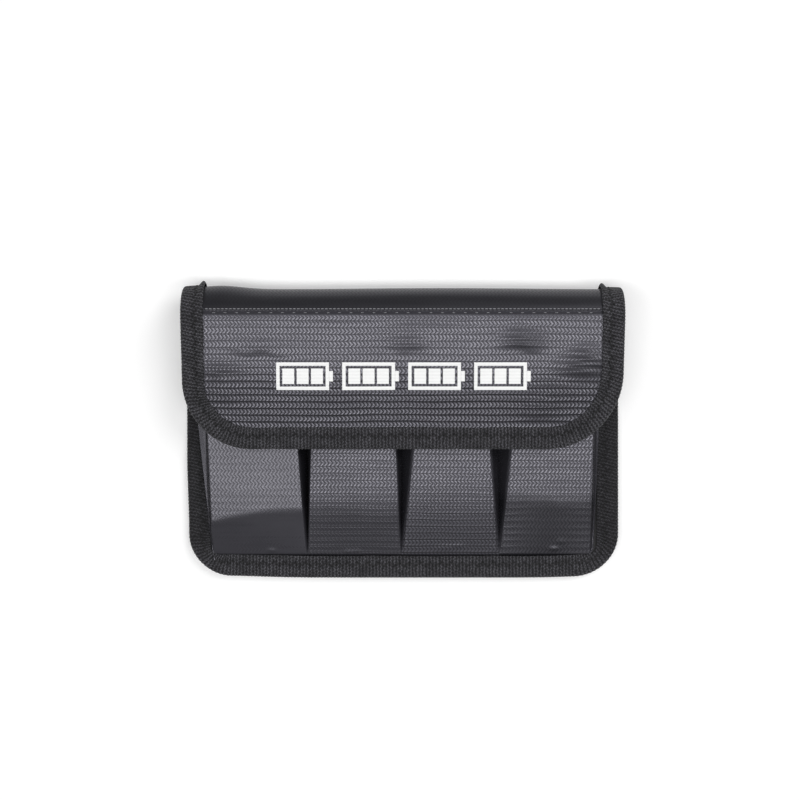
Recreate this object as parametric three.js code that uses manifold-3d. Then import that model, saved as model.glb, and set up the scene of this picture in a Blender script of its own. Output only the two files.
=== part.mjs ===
// A soft storage pouch for four battery packs, lying on its back: a bound back panel, four tapered
// pockets with pleated gussets, a rounded spine and a flap that closes over the pockets.
// Millimetres. +X runs across the pouch, +Y from the bottom seam to the spine, +Z out of the front.
// The origin is on the resting surface, under the centre of the closed pouch.
import * as THREE from "three";
import { mergeVertices } from "three/addons/utils/BufferGeometryUtils.js";
import Module from "manifold-3d";

const wasm = await Module();
wasm.setup();

// ---- Driving dimensions ----
const HALF_WIDTH = 97.5; // over the binding
const HALF_LENGTH = 65.3; // over the binding at the bottom, over the spine at the top
const TAPE = 0.5; // thickness of the binding tape
const TAPE_FACE = 10; // how far the folded tape covers each face
const SHELL = 0.7; // coated outer fabric, also the pockets' fabric
const CORE = 1.0; // fire-resistant felt
const LINING = 0.4;
const GAP = 0.1; // clearance between layers that lie on each other
const SPINE_RADIUS = 12.6; // over the tape
const SPINE_STEP = 60; // degrees of arc in one spine segment
const BODY_CORNER = 20; // lower corners of the back panel
const FLAP_CORNER = 32; // lower corners of the flap
const FLAP_LENGTH = 60.3; // from the front fold to the flap's lower edge
const FLAP_SLOPE = 8.4; // degrees that the closed flap falls towards its edge
const POCKET_LENGTH = 81; // from the bottom seam to the mouth, in plan
// A pocket's front rises steeply out of the bottom seam and then gently to its mouth.
const STEEP = { slope: 0.25, until: 8 };
const GENTLE = { slope: 0.11, from: 30 };
const FRONT_STATIONS = [8, 15, 22, 30, POCKET_LENGTH]; // where a front changes slope
// Left and right edge of each pocket's front, at the bottom seam and at the mouth.
const POCKETS = [
  { seam: [-85.3, -43.4], mouth: [-88.0, -48.9] },
  { seam: [-42.6, -1.0], mouth: [-39.8, -4.4] },
  { seam: [0.2, 42.8], mouth: [8.3, 36.4] },
  { seam: [44.0, 84.4], mouth: [52.0, 85.4] },
];
const VALLEYS = [-43.0, -0.4, 43.4]; // where the strip is sewn down between two pockets
// The outer gussets fold over the side binding: how far out, at their lower end and at the mouth.
const SIDE_FOLDS = [
  [88.3, 93.2],
  [88.0, 90.6],
];
const HOOK_AND_LOOP = 0.9; // thickness of each half of the closure
const HOOK_STRIP = { halfWidth: 74, from: 33.6, to: 47.6 }; // distances from the front fold
const LOOP_PATCH = { width: 24, from: -21.5, to: -7.5 }; // from the pocket's mouth

// ---- Depths below a face: the tape, then the layers it wraps ----
const SHELL_AT = TAPE + GAP;
const CORE_AT = SHELL_AT + SHELL + GAP;
const LINING_AT = CORE_AT + CORE + GAP;
const STACK_AT = LINING_AT + LINING + GAP; // first free depth inside the lining
const EDGE_DEPTH = STACK_AT + TAPE; // the bound edge of the flap and the spine
const BODY_EDGE_DEPTH = STACK_AT + SHELL + GAP + TAPE; // the body's edge also holds pocket fabric
const TAPE_INSET = TAPE + GAP; // wrapped layers stop short of the tape's web

const SPINE_Y = HALF_LENGTH - SPINE_RADIUS;
const SPINE_Z = SPINE_RADIUS;
const FOLD_GAP = 0.15; // half the slit at a fold
const FLAP_START = 0.8; // the flap's layers start past the fold, because the flap tilts there
const SEAM_Y = -HALF_LENGTH + TAPE_FACE + FOLD_GAP; // the line that the pocket fronts turn about
const SEAM_Z = STACK_AT + SHELL / 2;
const GUSSET_START = 9; // above the seam, where the pocket is deep enough to hold a gusset
const HEM_INSET = 1.7; // the hem lies between the gussets' walls
const CURVE_STEPS = 8;

const rad = THREE.MathUtils.degToRad;

// ---- Materials ----
const finish = (color, roughness) => new THREE.MeshStandardMaterial({ color, roughness, metalness: 0 });
const COATED = finish(0x4a4a50, 0.42);
const GUSSET = finish(0x202023, 0.6);
const FELT = finish(0x6d6a62, 0.95);
const LINING_CLOTH = finish(0x1c1c1f, 0.8);
const WEBBING = finish(0x2b2b2e, 0.85);
const HOOKS = finish(0x18181a, 0.7);
const LOOPS = finish(0x202022, 0.95);

// ---- Solids ----
const solid = (geometry) => {
  const bare = geometry.clone();
  bare.deleteAttribute("normal");
  bare.deleteAttribute("uv");
  const merged = mergeVertices(bare, 1e-4);
  const vertProperties = merged.attributes.position.array;
  const triVerts = new Uint32Array(merged.index.array);
  return new wasm.Manifold(new wasm.Mesh({ numProp: 3, vertProperties, triVerts }));
};

const geometryOf = (manifold) => {
  const made = manifold.getMesh();
  const geometry = new THREE.BufferGeometry();
  geometry.setAttribute("position", new THREE.BufferAttribute(new Float32Array(made.vertProperties), 3));
  geometry.setIndex(new THREE.BufferAttribute(new Uint32Array(made.triVerts), 1));
  geometry.computeVertexNormals();
  return geometry;
};

const piece = (name, geometry, material) => {
  const mesh = new THREE.Mesh(geometry, material);
  mesh.name = name;
  return mesh;
};

// A panel's plan: straight sides, square top, round lower corners.
const panelShape = (halfWidth, low, high, corner) => {
  const shape = new THREE.Shape();
  shape.moveTo(halfWidth, high);
  shape.lineTo(-halfWidth, high);
  shape.lineTo(-halfWidth, low + corner);
  shape.absarc(-halfWidth + corner, low + corner, corner, Math.PI, 1.5 * Math.PI, false);
  shape.lineTo(halfWidth - corner, low);
  shape.absarc(halfWidth - corner, low + corner, corner, 1.5 * Math.PI, 2 * Math.PI, false);
  return shape;
};

const rectangle = (x0, y0, x1, y1) =>
  new THREE.Shape([
    new THREE.Vector2(x0, y0),
    new THREE.Vector2(x1, y0),
    new THREE.Vector2(x1, y1),
    new THREE.Vector2(x0, y1),
  ]);

// A shape in the XY plane as a plate from z0 to z1.
const plate = (shape, z0, z1) => {
  const options = { depth: z1 - z0, bevelEnabled: false, curveSegments: CURVE_STEPS };
  return new THREE.ExtrudeGeometry(shape, options).translate(0, 0, z0);
};

// A profile drawn in the YZ plane, extruded along X from x0 to x1.
const alongX = (shape, x0, x1) => {
  const toYZ = new THREE.Matrix4().makeBasis(
    new THREE.Vector3(0, 1, 0),
    new THREE.Vector3(0, 0, 1),
    new THREE.Vector3(1, 0, 0),
  );
  return plate(shape, x0, x1).applyMatrix4(toYZ);
};

// A solid that runs from one closed section to the next, towards +Y. Sections are lists of points,
// clockwise as seen from -Y.
const loft = (sections) => {
  const count = sections[0].length;
  const points = sections.flat();
  const faces = [];
  for (let s = 0; s + 1 < sections.length; s += 1) {
    for (let i = 0; i < count; i += 1) {
      const j = (i + 1) % count;
      const [a, b] = [s * count + i, s * count + j];
      faces.push(a, b, b + count, a, b + count, a + count);
    }
  }
  const flat = sections[0].map((p) => new THREE.Vector2(p.x, p.z));
  const last = points.length - count;
  for (const [a, b, c] of THREE.ShapeUtils.triangulateShape(flat, [])) {
    faces.push(a, b, c, last + c, last + b, last + a);
  }
  const geometry = new THREE.BufferGeometry().setFromPoints(points);
  geometry.setIndex(faces);
  geometry.computeVertexNormals();
  return geometry;
};

// Binding tape folded round a panel's sides and lower edge: a channel of the tape's thickness.
const foldedTape = (halfWidth, low, high, corner, z0, z1) => {
  const inset = (d, below, above, grow) =>
    solid(plate(panelShape(halfWidth - d, low + d, high + grow, corner - d), below, above));
  const outer = inset(0, z0, z1, 0);
  const slot = inset(TAPE, z0 + TAPE, z1 - TAPE, 1);
  const middle = inset(TAPE_FACE, z0 - 1, z1 + 1, 1);
  return geometryOf(outer.subtract(slot).subtract(middle));
};

// ---- Back panel ----
const body = new THREE.Group();
const bodyPanel = (name, depth, thickness, material) => {
  const shape = panelShape(
    HALF_WIDTH - TAPE_INSET,
    -HALF_LENGTH + TAPE_INSET,
    SPINE_Y - FOLD_GAP,
    BODY_CORNER - TAPE_INSET,
  );
  body.add(piece(name, plate(shape, depth, depth + thickness), material));
};
bodyPanel("back_shell", SHELL_AT, SHELL, COATED);
bodyPanel("back_core", CORE_AT, CORE, FELT);
bodyPanel("back_lining", LINING_AT, LINING, LINING_CLOTH);

const bodyTape = foldedTape(
  HALF_WIDTH,
  -HALF_LENGTH,
  SPINE_Y - FOLD_GAP,
  BODY_CORNER,
  0,
  BODY_EDGE_DEPTH,
);
body.add(piece("body_binding", bodyTape, WEBBING));

// The edge of the pocket fabric that is caught under the bottom binding.
const seamStrip = panelShape(
  HALF_WIDTH - TAPE_INSET,
  -HALF_LENGTH + TAPE_INSET,
  SEAM_Y + TAPE_FACE,
  BODY_CORNER - TAPE_INSET,
);
const belowSeam = rectangle(-HALF_WIDTH, -HALF_LENGTH, HALF_WIDTH, SEAM_Y - FOLD_GAP);
const seamSolid = solid(plate(seamStrip, STACK_AT, STACK_AT + SHELL)).intersect(solid(plate(belowSeam, 0, SEAM_Z * 2)));
body.add(piece("pocket_seam_strip", geometryOf(seamSolid), COATED));

// ---- Pockets ----
const mouthY = SEAM_Y + POCKET_LENGTH;
const section = (y, corners) => corners.map(([x, z]) => new THREE.Vector3(x, y, z));
// An edge of a pocket's front, as x at a given y.
const edgeAt = (pocket, side, y) => {
  const share = (y - SEAM_Y) / POCKET_LENGTH;
  return THREE.MathUtils.lerp(pocket.seam[side], pocket.mouth[side], share);
};
// How far a pocket's front has risen at a distance from the seam.
const riseAt = (distance) => {
  const steep = Math.min(distance, STEEP.until) * STEEP.slope;
  const span = GENTLE.from - STEEP.until;
  const bend = THREE.MathUtils.clamp(distance - STEEP.until, 0, span);
  const drop = (STEEP.slope - GENTLE.slope) / span;
  const gentle = Math.max(distance - GENTLE.from, 0) * GENTLE.slope;
  return steep + bend * (STEEP.slope - (drop * bend) / 2) + gentle;
};
const undersideAt = (y) => SEAM_Z + riseAt(y - SEAM_Y) - SHELL / 2;

const frontPlate = (pocket, index) => {
  const trim = 5; // the outermost lower corners clear the round corner of the binding
  const left = index === 0 ? trim : 0;
  const right = index === POCKETS.length - 1 ? trim : 0;
  const stations = [FOLD_GAP, ...(left + right > 0 ? [trim] : []), ...FRONT_STATIONS];
  return loft(
    stations.map((distance) => {
      const y = SEAM_Y + distance;
      const narrow = 1 - THREE.MathUtils.clamp((distance - FOLD_GAP) / (trim - FOLD_GAP), 0, 1);
      const [x0, x1] = [edgeAt(pocket, 0, y) + left * narrow, edgeAt(pocket, 1, y) - right * narrow];
      const [z0, z1] = [undersideAt(y), undersideAt(y) + SHELL];
      return section(y, [
        [x0, z1],
        [x1, z1],
        [x1, z0],
        [x0, z0],
      ]);
    }),
  );
};

// Tape folded over a pocket's mouth, drawn in the YZ plane with the mouth at y = 0.
const hemShape = () => {
  const [end, face] = [GAP, 6];
  const [inner, outer] = [SHELL / 2 + GAP, SHELL / 2 + GAP + TAPE];
  return new THREE.Shape([
    new THREE.Vector2(end + TAPE, -outer),
    new THREE.Vector2(end + TAPE, outer),
    new THREE.Vector2(end - face, outer),
    new THREE.Vector2(end - face, inner),
    new THREE.Vector2(end, inner),
    new THREE.Vector2(end, -inner),
    new THREE.Vector2(end - face, -inner),
    new THREE.Vector2(end - face, -outer),
  ]);
};

const loopBase = SHELL / 2 + GAP;
POCKETS.forEach((pocket, index) => {
  const name = `pocket_${index + 1}`;
  body.add(piece(`${name}_front`, frontPlate(pocket, index), COATED));
  const mouth = new THREE.Group();
  mouth.position.set(0, mouthY, SEAM_Z + riseAt(POCKET_LENGTH));
  mouth.rotation.x = Math.atan(GENTLE.slope);
  const hem = alongX(hemShape(), pocket.mouth[0] + HEM_INSET, pocket.mouth[1] - HEM_INSET);
  mouth.add(piece(`${name}_hem`, hem, WEBBING));
  const middle = (pocket.mouth[0] + pocket.mouth[1]) / 2;
  const patch = rectangle(
    middle - LOOP_PATCH.width / 2,
    LOOP_PATCH.from,
    middle + LOOP_PATCH.width / 2,
    LOOP_PATCH.to,
  );
  const patchPlate = plate(patch, loopBase, loopBase + HOOK_AND_LOOP);
  mouth.add(piece(`${name}_loop_patch`, patchPlate, LOOPS));
  body.add(mouth);
});

// ---- Gussets ----
const bends = FRONT_STATIONS.filter((distance) => distance > GUSSET_START && distance < POCKET_LENGTH);
const gussetStations = [GUSSET_START, ...bends, POCKET_LENGTH - 1].map((distance) => SEAM_Y + distance);
const floorZ = STACK_AT;

// Two walls of one pleat, down from one pocket's edge to the back panel and up to the next one's.
const pleat = (left, right, valley) =>
  loft(
    gussetStations.map((y) => {
      const top = undersideAt(y) - GAP;
      const [a, b] = [edgeAt(left, 1, y), edgeAt(right, 0, y)];
      const foot = 0.3; // half the width of the sewn fold
      return section(y, [
        [a - SHELL, top],
        [a, top],
        [valley - foot, floorZ + SHELL],
        [valley + foot, floorZ + SHELL],
        [b, top],
        [b + SHELL, top],
        [valley + foot + SHELL, floorZ],
        [valley - foot - SHELL, floorZ],
      ]);
    }),
  );

VALLEYS.forEach((valley, index) => {
  const name = `gusset_${index + 1}_${index + 2}`;
  body.add(piece(name, pleat(POCKETS[index], POCKETS[index + 1], valley), GUSSET));
});

// An outer gusset: a wall that spreads over the side binding, folds back to the binding's inner edge
// and ends under it.
const sideGusset = (pocket, side) =>
  loft(
    gussetStations.map((y) => {
      const out = side === 0 ? -1 : 1;
      const top = undersideAt(y) - GAP;
      const edge = edgeAt(pocket, side, y);
      const share = (y - SEAM_Y) / POCKET_LENGTH;
      const fold = out * THREE.MathUtils.lerp(...SIDE_FOLDS[side], share);
      const rest = BODY_EDGE_DEPTH + GAP;
      const seam = out * (HALF_WIDTH - TAPE_FACE - 3 * GAP);
      const far = out * (HALF_WIDTH - 2 * TAPE_INSET);
      const corners = [
        [edge - out * SHELL, top],
        [edge, top],
        [fold, rest + SHELL],
        [fold, rest],
        [seam, rest],
        [seam, floorZ + SHELL],
        [far, floorZ + SHELL],
        [far, floorZ],
        [seam - out * SHELL, floorZ],
        [seam - out * SHELL, rest + SHELL],
        [fold - out * 1.3, rest + SHELL],
      ];
      return section(y, side === 0 ? corners.reverse() : corners);
    }),
  );
body.add(piece("gusset_left", sideGusset(POCKETS[0], 0), GUSSET));
body.add(piece("gusset_right", sideGusset(POCKETS[POCKETS.length - 1], 1), GUSSET));

// ---- Spine: three segments of a half circle, each turning on a fold line at the tape's outside ----
const arcShape = (inner, outer, from, to) => {
  const shape = new THREE.Shape();
  const [start, end] = [rad(from - 90), rad(to - 90)];
  shape.absarc(SPINE_Y, SPINE_Z, outer, start, end, false);
  shape.absarc(SPINE_Y, SPINE_Z, inner, end, start, true);
  return shape;
};

const spineTape = (from, to, side) => {
  const inner = SPINE_RADIUS - EDGE_DEPTH;
  const [low, high] = side < 0 ? [-HALF_WIDTH, -HALF_WIDTH + TAPE_FACE] : [HALF_WIDTH - TAPE_FACE, HALF_WIDTH];
  const [slotLow, slotHigh] = side < 0 ? [low + TAPE, high + 1] : [low - 1, high - TAPE];
  const outside = solid(alongX(arcShape(inner, SPINE_RADIUS, from, to), low, high));
  const slot = alongX(arcShape(inner + TAPE, SPINE_RADIUS - TAPE, from - 5, to + 5), slotLow, slotHigh);
  return geometryOf(outside.subtract(solid(slot)));
};

const spine = new THREE.Group();
["spine_lower", "spine_mid", "spine_upper"].forEach((name, index) => {
  const slit = 0.7; // degrees left open at each end of a segment
  const from = index * SPINE_STEP + slit;
  const to = (index + 1) * SPINE_STEP - slit;
  const half = HALF_WIDTH - TAPE_INSET;
  const layer = (depth, thickness) => {
    const outer = SPINE_RADIUS - depth;
    return alongX(arcShape(outer - thickness, outer, from, to), -half, half);
  };
  spine.add(piece(`${name}_shell`, layer(SHELL_AT, SHELL), COATED));
  spine.add(piece(`${name}_lining`, layer(LINING_AT, LINING), LINING_CLOTH));
  spine.add(piece(`${name}_binding_left`, spineTape(from, to, -1), WEBBING));
  spine.add(piece(`${name}_binding_right`, spineTape(from, to, 1), WEBBING));
});

// ---- Flap, drawn flat with its outside at z = 0 and its fold at y = 0, then tilted ----
const flap = new THREE.Group();
flap.position.set(0, SPINE_Y, SPINE_Z + SPINE_RADIUS);
flap.rotation.x = rad(FLAP_SLOPE);
const flapPanel = (name, depth, thickness, material) => {
  const shape = panelShape(
    HALF_WIDTH - TAPE_INSET,
    -FLAP_LENGTH + TAPE_INSET,
    -FLAP_START,
    FLAP_CORNER - TAPE_INSET,
  );
  flap.add(piece(name, plate(shape, -depth - thickness, -depth), material));
};
flapPanel("flap_shell", SHELL_AT, SHELL, COATED);
flapPanel("flap_core", CORE_AT, CORE, FELT);
flapPanel("flap_lining", LINING_AT, LINING, LINING_CLOTH);
const flapTape = foldedTape(HALF_WIDTH, -FLAP_LENGTH, -FLAP_START, FLAP_CORNER, -EDGE_DEPTH, 0);
flap.add(piece("flap_binding", flapTape, WEBBING));
const hooks = rectangle(-HOOK_STRIP.halfWidth, -HOOK_STRIP.to, HOOK_STRIP.halfWidth, -HOOK_STRIP.from);
flap.add(piece("hook_strip", plate(hooks, -STACK_AT - HOOK_AND_LOOP, -STACK_AT), HOOKS));

const pouch = new THREE.Group();
pouch.add(body, spine, flap);

export default pouch;
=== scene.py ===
"""The looks of a soft pouch for four battery packs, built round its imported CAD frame.

The pouch lies on its back. X runs across it, Y from the bottom seam to the rounded spine, Z up.
Lengths are millimetres until a mesh is made. The back panel, the spine and the flap are one long
sandwich of sheets, so most pieces are drawn in its unrolled plan: x across, v along the outside from
the bottom edge, over the spine, to the flap's lower edge, and a depth below the outside.
"""

import math

import bpy
import numpy as np
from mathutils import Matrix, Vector


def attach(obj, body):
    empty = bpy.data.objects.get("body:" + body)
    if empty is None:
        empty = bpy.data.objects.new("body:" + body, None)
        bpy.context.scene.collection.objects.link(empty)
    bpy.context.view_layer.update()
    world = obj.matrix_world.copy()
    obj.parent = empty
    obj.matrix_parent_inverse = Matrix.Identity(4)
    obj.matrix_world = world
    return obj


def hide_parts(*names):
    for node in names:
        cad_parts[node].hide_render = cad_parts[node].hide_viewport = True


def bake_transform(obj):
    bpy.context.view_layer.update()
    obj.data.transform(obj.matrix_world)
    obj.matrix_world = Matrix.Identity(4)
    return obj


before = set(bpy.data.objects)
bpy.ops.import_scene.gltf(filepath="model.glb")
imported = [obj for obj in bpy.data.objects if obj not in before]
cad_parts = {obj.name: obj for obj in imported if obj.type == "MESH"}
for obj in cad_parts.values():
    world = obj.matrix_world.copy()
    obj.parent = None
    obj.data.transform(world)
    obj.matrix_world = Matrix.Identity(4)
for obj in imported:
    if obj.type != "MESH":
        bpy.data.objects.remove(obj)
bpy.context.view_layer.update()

MM = 0.001

# ---- Dimensions shared with the frame ----
HALF_WIDTH = 97.5
HALF_LENGTH = 65.3
TAPE = 0.5
TAPE_FACE = 10.0
PANEL_INSET = TAPE + 0.1
SHELL_DEPTH = (0.6, 1.3)
CORE_DEPTH = (1.4, 2.4)
LINING_DEPTH = (2.5, 2.9)
BODY_EDGE = 4.3
FLAP_EDGE = 3.5
SPINE_RADIUS = 12.6
BODY_CORNER = 20.0
FLAP_CORNERS = (30.5, 34.0)
FLAP_LENGTH = 60.3
FLAP_TILT = math.radians(8.4)
SEAM_Y = -55.15
SEAM_Z = 3.35
POCKET_LENGTH = 81.0
FRONT = 0.7
MOUTH_RISE = 11.57
GENTLE_SLOPE = 0.10
POCKETS = (
    {"seam": (-85.3, -43.4), "mouth": (-88.0, -48.9)},
    {"seam": (-42.6, -1.0), "mouth": (-39.8, -4.4)},
    {"seam": (0.2, 42.8), "mouth": (8.3, 36.4)},
    {"seam": (44.0, 84.4), "mouth": (52.0, 85.4)},
)
VALLEYS = (-43.0, -0.4, 43.4)
SIDE_FOLDS = ((-85.9, -94.7), (86.0, 89.6))
HOOK_ROWS = (33.6, 47.6)
HOOK_HALF = 74.0
HOOK_DEPTH = (3.0, 3.85)
PATCH_ROWS = (POCKET_LENGTH - 21.5, POCKET_LENGTH - 7.5)
PATCH_HALF = 12.0

# ---- Places along the unrolled plan ----
SPINE_Y = HALF_LENGTH - SPINE_RADIUS
V_BOTTOM = -HALF_LENGTH
V_FOLD = SPINE_Y + math.pi * SPINE_RADIUS
V_END = V_FOLD + FLAP_LENGTH
V_30, V_90, V_150 = (SPINE_Y + SPINE_RADIUS * math.radians(a) for a in (30, 90, 150))
V_SEAM = V_FOLD - 1.5

# ---- Sizes of what only the eye needs ----
RIB = 1.5
RIB_HEIGHT = 0.08
BODY_SQUEEZE = 0.24
THREAD = 0.17
TAPE_THREAD = 0.21
ZIGZAG_PITCH = 4.7
ZIGZAG_AT = 6.3
ZIGZAG_HALF = 0.95
ROW = 1.49
PATH_STEP = 0.02
SPINE_STEP = 0.55
EDGE_STEP = 0.3
# The thickness of a bound edge and the width of a pocket's front, near enough for texture and puckers.
USUAL_EDGE = 3.6
USUAL_WIDTH = 42


def smooth(t):
    """0 below 0, 1 above 1, and an even ramp between."""
    t = np.clip(t, 0, 1)
    return t * t * (3 - 2 * t)


def hump(t):
    """1 at 0, falling away on both sides."""
    return np.exp(-(np.asarray(t) ** 2))


def running(lengths):
    """How far each point of a line is along it, from the lengths of its parts."""
    return np.concatenate([[0], np.cumsum(lengths)])


# ---- The sandwich's shape ----
def angle_along(v):
    """The direction of the outside in the YZ plane: 0 on the back, a half turn and more on the flap."""
    round_part = np.clip((v - SPINE_Y) / SPINE_RADIUS, 0, math.pi)
    return round_part + FLAP_TILT * smooth((v - V_FOLD + 1.3) / 4.0)


PATH_V = np.arange(V_BOTTOM - 2, V_END + 2, PATH_STEP)
PATH_ANGLE = angle_along(PATH_V)
PATH_Y = V_BOTTOM - 2 + running(np.cos(PATH_ANGLE[:-1]) * PATH_STEP)
PATH_Z = running(np.sin(PATH_ANGLE[:-1]) * PATH_STEP)

# Low ridges across the flap: x, distance from the fold, half length, half width, height.
CREASES = (
    (53, 13.6, 9, 2.7, 0.85),
    (84, 21, 9, 2.4, 0.95),
    (79, 26.8, 11, 2.7, 1.15),
    (67, 35.4, 8, 2.7, 1.1),
    (60, 43.2, 11, 3, 1.05),
    (80, 37, 6, 2, 0.60),
    (2, 14.4, 8, 2.4, 0.42),
    (24, 40.5, 14, 2.6, 0.35),
    (-22, 38, 18, 2.7, 0.32),
    (-80, 26.2, 10, 2, 0.58),
    (-80, 30.6, 8, 1.8, 0.42),
    (-82, 37.4, 9, 2.2, 0.65),
    (-64, 16.4, 12, 2.2, 0.42),
    (-58, 31, 9, 2, 0.32),
)


def lift_at(x, v):
    """How far the sandwich stands out of its plain shape: the spine's slack and the flap's ripples."""
    d = v - V_FOLD
    edge = smooth((93 - np.abs(x)) / 10) * smooth((57 - d) / 8) * smooth((d - 1) / 5)
    waves = 0.20 * np.sin(x / 17 + 0.6) * np.sin(d / 8.5 + 0.4)
    waves = waves + 0.10 * np.sin(x / 10.5 - d / 19 + 1.3)
    low = 0.05 * np.sin(d * 2 * math.pi / 5.8 + x / 55) * hump((d - 46) / 8)
    creases = 0.0
    for crease_x, crease_d, half_length, half_width, height in CREASES:
        across = d - crease_d - 0.06 * (x - crease_x) - 0.5 * np.sin(x / 2.4 + crease_x)
        across = across / np.where(across < 0, 2.4 * half_width, 0.8 * half_width)
        rows = 1 + 0.22 * np.cos(math.pi * d / ROW + crease_x)
        creases = creases + 1.25 * height * rows * hump((x - crease_x) / half_length) * hump(across)
    flap = edge * (waves + low) + creases * smooth((95 - np.abs(x)) / 6) * (d > 0)
    bulge = 1.4 * hump((x + 80) / 12) * hump((v - SPINE_Y - SPINE_RADIUS * 1.75) / 7)
    droop = 1.1 * smooth((np.abs(x) - 70) / 28) ** 1.5 * smooth(d / 30)
    on_spine = smooth((v - SPINE_Y - 8) / 8) * smooth((V_FOLD - 4 - v) / 8)
    slack = on_spine * 0.22 * np.sin(x / 23 + 0.8)
    return flap - droop * (d > 0) + slack + bulge


def corner_lift(x, v):
    """The lower edge isn't quite straight: near both corners it lies a little farther up."""
    return (hump((x + 82) / 24) + 0.9 * hump((x - 90) / 20)) * smooth((-40 - v) / 20)


def wrap(x, v, depth, still=False):
    """Points in the frame for points of the unrolled plan, depth below the outside.
    Still leaves out the ripples and the lower edge's unevenness."""
    x, v, depth = np.broadcast_arrays(np.asarray(x, float), np.asarray(v, float), np.asarray(depth, float))
    angle = np.interp(v, PATH_V, PATH_ANGLE)
    inward = depth if still else depth - lift_at(x, v)
    if not still:
        x, v = x + 0.9 * smooth((-72 - x) / 20) * smooth((-10 - v) / 35), v + 0.9 * corner_lift(x, v)
    y = np.interp(v, PATH_V, PATH_Y) - np.sin(angle) * inward
    z = np.interp(v, PATH_V, PATH_Z) + np.cos(angle) * inward
    return np.stack([x, y, z], -1)


# ---- Meshes ----
def make_object(name, points, faces, uv, material, weave=1.0, shade=1.0, sharp=50):
    """One mesh object from points in mm, with how much weave shows and its painted shade: how much light its
    colour returns.
    Faces that point inwards are turned round."""
    a, b, c, d = (points[faces[:, i]] for i in range(4))
    volume = (a * (np.cross(b, c) + np.cross(c, d))).sum()
    if volume < 0:
        faces = faces[:, ::-1]
    mesh = bpy.data.meshes.new(name)
    mesh.from_pydata((points * MM).tolist(), [], faces.tolist())
    corners = np.empty(len(mesh.loops), np.int32)
    mesh.loops.foreach_get("vertex_index", corners)
    mesh.uv_layers.new(name="UVMap").data.foreach_set("uv", uv[corners].astype(np.float32).ravel())
    for label, values in (("weave", weave), ("shade", shade)):
        attribute = mesh.attributes.new(label, "FLOAT", "POINT")
        full = np.broadcast_to(np.asarray(values, np.float32), (len(points),))
        attribute.data.foreach_set("value", np.ascontiguousarray(full))
    mesh.shade_smooth()
    mesh.set_sharp_from_angle(angle=math.radians(sharp))
    mesh.materials.append(material)
    made = bpy.data.objects.new(name, mesh)
    bpy.context.scene.collection.objects.link(made)
    return made


def pairs(u, v):
    """UV for every point of a grid."""
    return np.stack(np.broadcast_arrays(u, v), -1)


def slab_faces(rows, columns, start=0):
    """Faces of a closed sheet whose two sides are grids of rows by columns points, one after the other."""
    index = start + np.arange(rows * columns).reshape(rows, columns)
    other = rows * columns
    a, b, c, d = index[:-1, :-1], index[1:, :-1], index[1:, 1:], index[:-1, 1:]
    front = np.stack([a, b, c, d], -1).reshape(-1, 4)
    back = front[:, ::-1] + other
    rim = np.concatenate([index[0, :-1], index[:-1, -1], index[-1, :0:-1], index[:0:-1, 0]])
    after = np.roll(rim, -1)
    side = np.stack([rim, after, after + other, rim + other], -1)
    return np.concatenate([front, back, side])


def slab(name, front, back, uv, material, weave=1.0, shade=1.0, sharp=50):
    """A sheet of cloth with a real thickness, between two grids of points of one shape."""
    rows, columns = front.shape[:2]
    points = np.concatenate([front.reshape(-1, 3), back.reshape(-1, 3)])
    both = np.concatenate([uv.reshape(-1, 2)] * 2)
    weave, shade = (np.concatenate([np.broadcast_to(a, (rows, columns)).ravel()] * 2) for a in (weave, shade))
    return make_object(name, points, slab_faces(rows, columns), both, material, weave, shade, sharp)


def steps(low, high, size):
    """Even steps of about that size from low to high, with both ends."""
    return np.linspace(low, high, max(2, int(round((high - low) / size)) + 1))


# ---- Outlines in the unrolled plan ----
def panel_side(past, corner):
    """How far a panel reaches to one side. Past is how far the row lies beyond the start of its corner."""
    corner = corner - PANEL_INSET
    drop = np.clip(past, 0, corner)
    return HALF_WIDTH - PANEL_INSET - corner + np.sqrt(corner**2 - drop**2)


def body_side(v):
    return panel_side(V_BOTTOM + BODY_CORNER - v, BODY_CORNER)


def rows_to_edge(low, high, corner, size, edge_low):
    """Rows from low to high, closer together where a round corner ends at one of them."""
    turn = corner * (1 - np.cos(np.linspace(0, math.pi / 2, 18)))
    if edge_low:
        return np.concatenate([low + turn[:-1], steps(low + corner, high, size)])
    return np.concatenate([steps(low, high - corner, size), high - turn[-2::-1]])


def layer(name, rows, left, right, depths, material, weave=1.0, across=120, shade=1.0):
    """A sheet of the sandwich: rows of v, with its left and right edge and its depths at each row."""
    share = np.linspace(0, 1, across + 1)[None, :]
    x = left[:, None] + (right - left)[:, None] * share
    v = np.broadcast_to(rows[:, None], x.shape)
    front_depth, back_depth = (np.broadcast_to(np.asarray(d, float), rows.shape)[:, None] for d in depths)
    shade = shade(x, v) if callable(shade) else shade
    return slab(name, wrap(x, v, front_depth), wrap(x, v, back_depth), pairs(x, v), material, weave, shade)


def body_layer(name, depths, material, end, weave=1.0):
    rows = rows_to_edge(V_BOTTOM + PANEL_INSET, end, BODY_CORNER - PANEL_INSET, 2.5, True)
    side = body_side(rows)
    return layer(name, rows, -side, side, depths, material, weave)


def spine_layer(name, rows, depths, material, weave=1.0, shade=1.0):
    side = np.full(rows.shape, HALF_WIDTH - PANEL_INSET)
    return layer(name, rows, -side, side, depths, material, weave, shade=shade)


def flap_layer(name, start, depths, material, weave=1.0, across=200, size=0.8, shade=1.0):
    """A sheet of the flap. Its depths and its weave may be functions of the row, its shade of x and v."""
    rows = rows_to_edge(start, V_END - PANEL_INSET, max(FLAP_CORNERS) - PANEL_INSET, size, False)
    left, right = (panel_side(rows - (V_END - corner), corner) for corner in FLAP_CORNERS)
    depths = [d(rows) if callable(d) else d for d in depths]
    weave = weave(rows) if callable(weave) else weave
    return layer(name, rows, -left, right, depths, material, weave, across, shade)


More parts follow.
